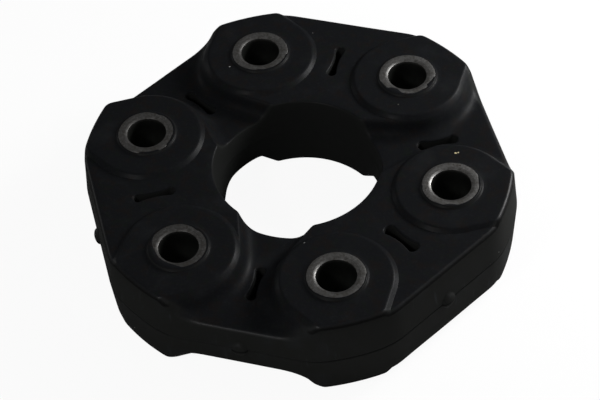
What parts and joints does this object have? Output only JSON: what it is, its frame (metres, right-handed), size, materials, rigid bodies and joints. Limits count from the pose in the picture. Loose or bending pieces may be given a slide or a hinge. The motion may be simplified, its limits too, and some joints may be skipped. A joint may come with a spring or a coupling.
{
  "type": "driveshaft flex disc",
  "caption": "Rubber flex disc for a driveshaft: steel bolt sleeves on a circle, tied by cord packs moulded in rubber, with thick and thin webs in turn.",
  "frame": {"origin": "centre of the bolt circle, on the parting plane half way up the disc", "axes": "+Z along the driveshaft, square to the disc; +X from the centre towards sleeve 1"},
  "size_m": [0.1322, 0.1268, 0.03],
  "materials": {
    "rubber": "black moulded natural rubber, satin, with rounded edges and fine moulding marks",
    "sleeve_steel": "dull grey cold-drawn steel with faint turning marks and a bright bore chamfer",
    "collar_steel": "plain pressed steel, buried in the rubber",
    "cord": "dipped polyester cord, wound in layers and buried in the rubber"
  },
  "bodies": {
    "root": {"rubber_body": "rubber", "sleeve_1": "sleeve_steel", "sleeve_2": "sleeve_steel", "sleeve_3": "sleeve_steel", "sleeve_4": "sleeve_steel", "sleeve_5": "sleeve_steel", "sleeve_6": "sleeve_steel", "upper_collar_1": "collar_steel", "upper_collar_2": "collar_steel", "upper_collar_3": "collar_steel", "upper_collar_4": "collar_steel", "upper_collar_5": "collar_steel", "upper_collar_6": "collar_steel", "lower_collar_1": "collar_steel", "lower_collar_2": "collar_steel", "lower_collar_3": "collar_steel", "lower_collar_4": "collar_steel", "lower_collar_5": "collar_steel", "lower_collar_6": "collar_steel", "coast_cord_pack_1": "cord", "coast_cord_pack_2": "cord", "coast_cord_pack_3": "cord", "upper_drive_cord_pack_1": "cord", "upper_drive_cord_pack_2": "cord", "upper_drive_cord_pack_3": "cord", "lower_drive_cord_pack_1": "cord", "lower_drive_cord_pack_2": "cord", "lower_drive_cord_pack_3": "cord"}
  },
  "joints": []
}
